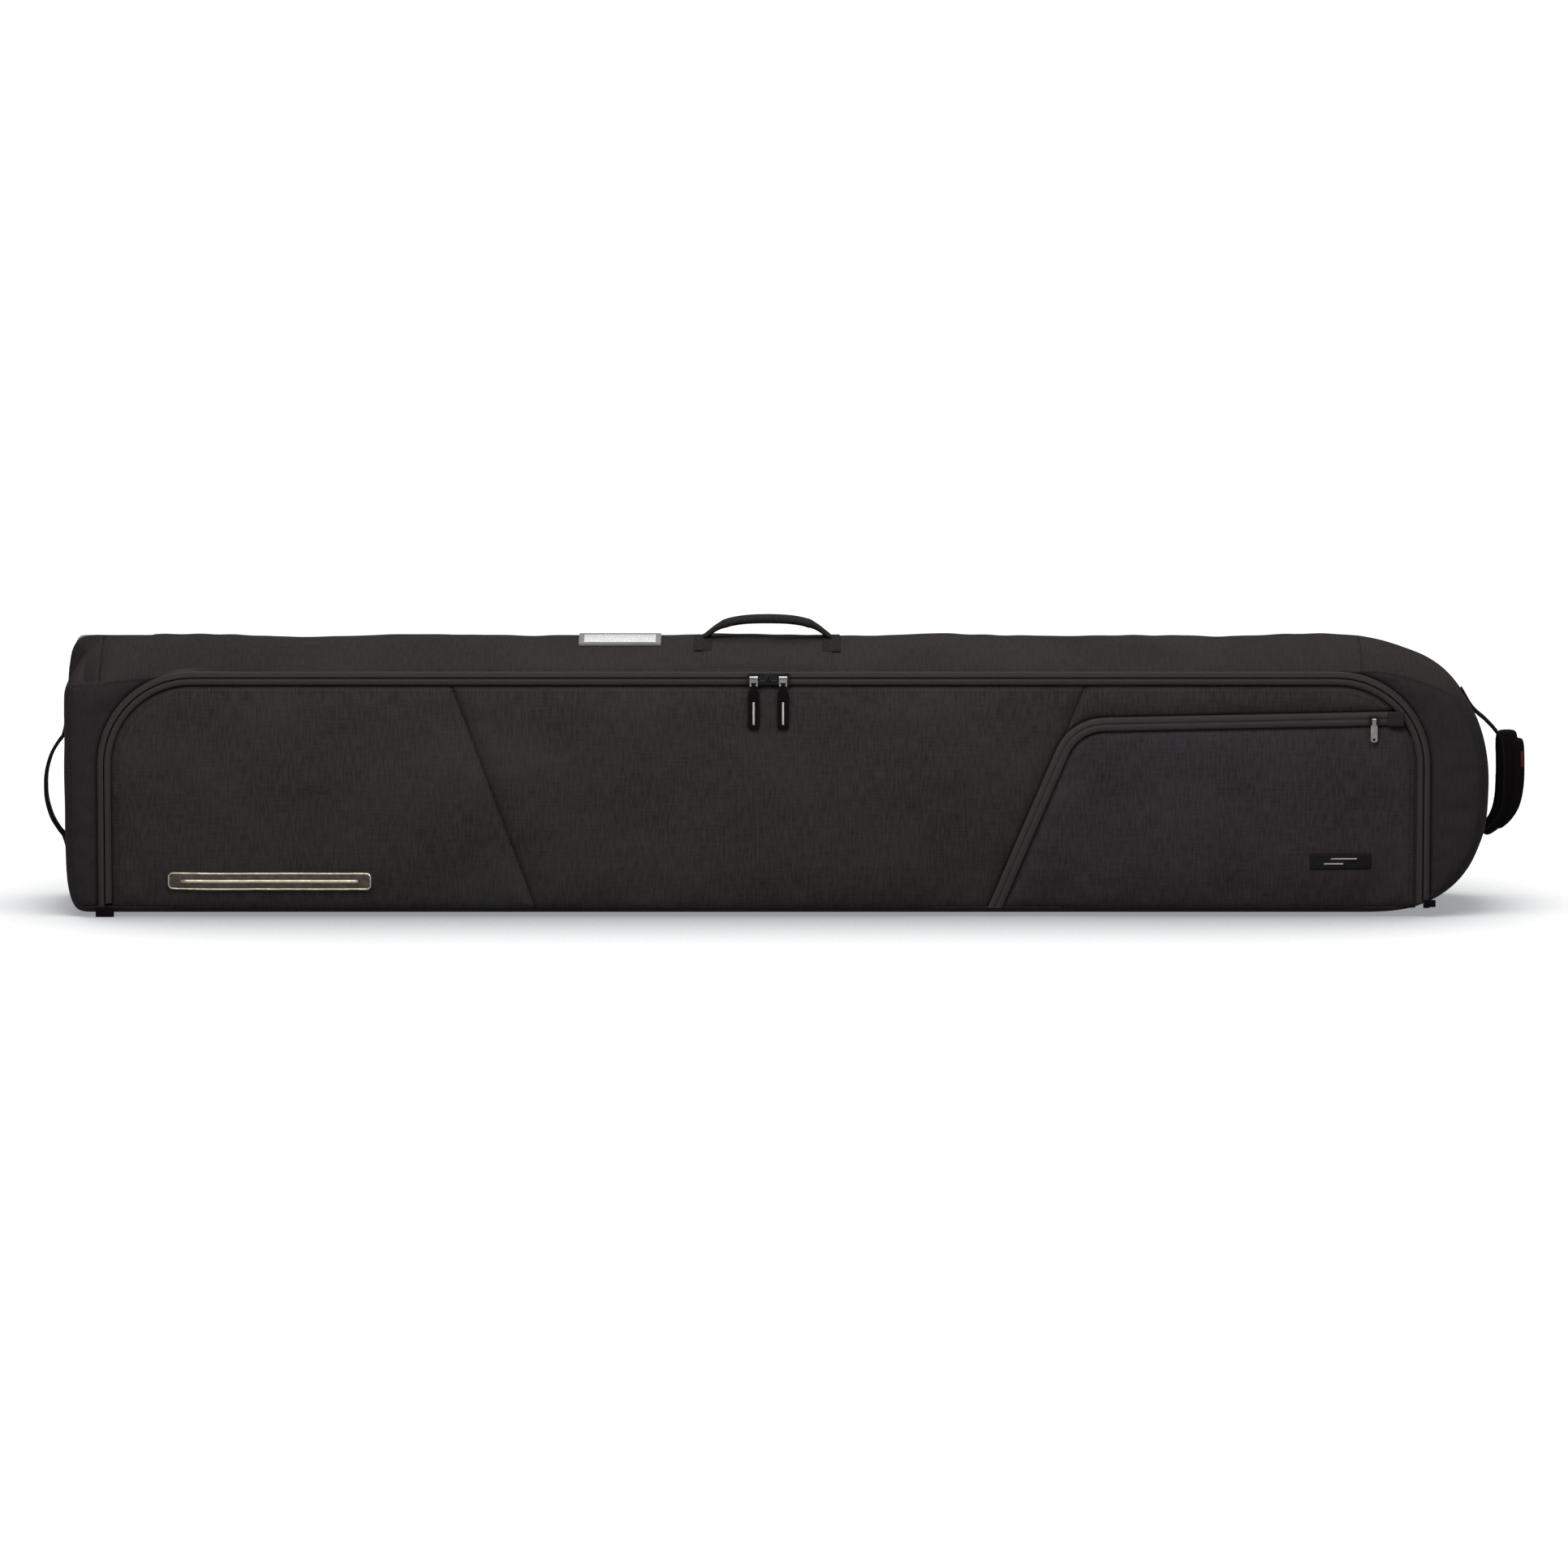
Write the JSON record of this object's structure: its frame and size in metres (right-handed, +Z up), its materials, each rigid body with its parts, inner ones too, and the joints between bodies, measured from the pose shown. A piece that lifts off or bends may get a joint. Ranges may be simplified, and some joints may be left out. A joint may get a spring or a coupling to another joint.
{
  "type": "wheeled snowboard bag",
  "caption": "Long padded wheeled bag for a snowboard, with a full-length zipped lid, an outside pocket and a carrying handle on three sides.",
  "frame": {"origin": "middle of the long narrow side that the bag lies on, at floor level", "axes": "+X along the length towards the nose, -Y out of the lid, +Z up"},
  "size_m": [1.7695, 0.2172, 0.3495],
  "materials": {
    "shell_fabric": "plain woven polyester",
    "gusset_fabric": "coarse woven polyester",
    "lid_fabric": "slubbed heather weave",
    "pocket_fabric": "slubbed heather weave",
    "foam": "closed-cell foam",
    "lining": "smooth lining",
    "zip_tape": "woven zip tape",
    "zip_coil": "nylon coil",
    "webbing": "black webbing",
    "grip_fabric": "padded sleeve",
    "tag_red": "woven tag",
    "grey_plastic": "moulded plastic",
    "clear_window": "clear film",
    "card": "plain card",
    "hardware": "zinc plated",
    "slider_metal": "black plated die casting",
    "tab_metal": "gunmetal",
    "buckle_plastic": "acetal",
    "badge_metal": "champagne metallic",
    "label_weave": "woven label",
    "wheel_hub": "moulded nylon",
    "wheel_tyre": "cast urethane"
  },
  "bodies": {
    "shell": {"back_panel": "shell_fabric", "top_gusset": "gusset_fabric", "bottom_gusset": "gusset_fabric", "tail_end_panel": "shell_fabric", "nose_end_panel": "shell_fabric", "front_border": "shell_fabric", "tub_foam": "foam", "tub_lining": "lining", "shell_zip_tape": "zip_tape", "shell_zip_coil": "zip_coil", "zip_foot_tab_tail": "webbing", "zip_foot_tab_nose": "webbing", "handle_patch": "gusset_fabric", "id_window_frame": "grey_plastic", "id_window": "clear_window", "id_card": "card", "handle_anchors": "webbing", "wheel_housing_lower": "grey_plastic", "wheel_housing_upper": "grey_plastic", "wheel_axles": "hardware", "housing_screws": "hardware", "strap_lower_webbing": "webbing", "strap_upper_webbing": "webbing", "buckle_sockets": "buckle_plastic"},
    "lid": {"lid_tail_panel": "lid_fabric", "lid_centre_panel": "lid_fabric", "lid_nose_panel": "lid_fabric", "lid_foam": "foam", "lid_lining": "lining", "lid_zip_tape": "zip_tape", "lid_zip_coil": "zip_coil", "pocket_panel": "pocket_fabric", "pocket_back_panel": "pocket_fabric", "pocket_zip_tape": "zip_tape", "pocket_zip_coil": "zip_coil", "pocket_zip_garage": "webbing", "badge": "badge_metal", "size_label": "label_weave"},
    "slider_tail": {"main_slider_tail": "slider_metal"},
    "slider_nose": {"main_slider_nose": "slider_metal"},
    "tab_tail": {"main_tab_tail": "tab_metal"},
    "tab_nose": {"main_tab_nose": "tab_metal"},
    "puller_tail": {"main_puller_tail": "webbing"},
    "puller_nose": {"main_puller_nose": "webbing"},
    "pocket_slider": {"pocket_slider": "slider_metal"},
    "pocket_pull": {"pocket_pull": "tab_metal"},
    "top_handle": {"top_handle_webbing": "webbing", "top_handle_grip": "grip_fabric"},
    "tail_handle": {"tail_handle_webbing": "webbing"},
    "nose_handle": {"nose_handle_webbing": "webbing", "nose_handle_grip": "grip_fabric", "nose_handle_tag": "tag_red"},
    "wheel_lower": {"wheel_hub_lower": "wheel_hub", "wheel_tyre_lower": "wheel_tyre", "wheel_bearings_lower": "hardware"},
    "wheel_upper": {"wheel_hub_upper": "wheel_hub", "wheel_tyre_upper": "wheel_tyre", "wheel_bearings_upper": "hardware"},
    "plug_tail": {"buckle_plug_tail": "buckle_plastic"},
    "plug_nose": {"buckle_plug_nose": "buckle_plastic"}
  },
  "joints": [
    {"name": "lid_hinge", "type": "hinge", "parent": "shell", "child": "lid", "pos_m": [0, -0.1, 0.0104], "axis": [1, 0, 0], "range_deg": [0, 90]},
    {"name": "main_slider_tail_slide", "type": "slide", "parent": "lid", "child": "slider_tail", "axis": [-1, 0, 0], "range_m": [0, 0.65]},
    {"name": "main_slider_nose_slide", "type": "slide", "parent": "lid", "child": "slider_nose", "axis": [1, 0, 0], "range_m": [0, 0.64]},
    {"name": "main_tab_tail_hinge", "type": "hinge", "parent": "slider_tail", "child": "tab_tail", "pos_m": [-0.026, -0.105, 0.288], "axis": [-1, 0, 0], "range_deg": [0, 95]},
    {"name": "main_puller_tail_hinge", "type": "hinge", "parent": "tab_tail", "child": "puller_tail", "pos_m": [-0.026, -0.105, 0.279], "axis": [-1, 0, 0], "range_deg": [0, 80]},
    {"name": "main_tab_nose_hinge", "type": "hinge", "parent": "slider_nose", "child": "tab_nose", "pos_m": [0.009, -0.105, 0.288], "axis": [-1, 0, 0], "range_deg": [0, 95]},
    {"name": "main_puller_nose_hinge", "type": "hinge", "parent": "tab_nose", "child": "puller_nose", "pos_m": [0.009, -0.105, 0.279], "axis": [-1, 0, 0], "range_deg": [0, 80]},
    {"name": "pocket_slider_slide", "type": "slide", "parent": "lid", "child": "pocket_slider", "axis": [-0.9998, 0, -0.0209], "range_m": [0, 0.3]},
    {"name": "pocket_pull_hinge", "type": "hinge", "parent": "pocket_slider", "child": "pocket_pull", "pos_m": [0.712, -0.1044, 0.23772], "axis": [-1, 0, 0], "range_deg": [0, 160]},
    {"name": "top_handle_fold", "type": "hinge", "parent": "shell", "child": "top_handle", "pos_m": [-0.01, -0.018, 0.331], "axis": [1, 0, 0], "range_deg": [-40, 40], "stiffness_Nm_per_rad": 0.03},
    {"name": "tail_handle_fold", "type": "hinge", "parent": "shell", "child": "tail_handle", "pos_m": [-0.8545, 0, 0.145], "axis": [0, 0, 1], "range_deg": [-35, 35], "stiffness_Nm_per_rad": 0.02},
    {"name": "nose_handle_fold", "type": "hinge", "parent": "shell", "child": "nose_handle", "pos_m": [0.8515, 0, 0.157], "axis": [0, 0, 1], "range_deg": [-50, 50], "stiffness_Nm_per_rad": 0.03},
    {"name": "wheel_lower_spin", "type": "hinge", "parent": "shell", "child": "wheel_lower", "pos_m": [-0.803, 0.065, 0.05], "axis": [0, 0, 1], "continuous": true},
    {"name": "wheel_upper_spin", "type": "hinge", "parent": "shell", "child": "wheel_upper", "pos_m": [-0.803, 0.065, 0.262], "axis": [0, 0, 1], "continuous": true},
    {"name": "buckle_tail_release", "type": "slide", "parent": "shell", "child": "plug_tail", "axis": [0, 0, 1], "range_m": [0, 0.06]},
    {"name": "buckle_nose_release", "type": "slide", "parent": "shell", "child": "plug_nose", "axis": [0, 0, 1], "range_m": [0, 0.06]}
  ]
}
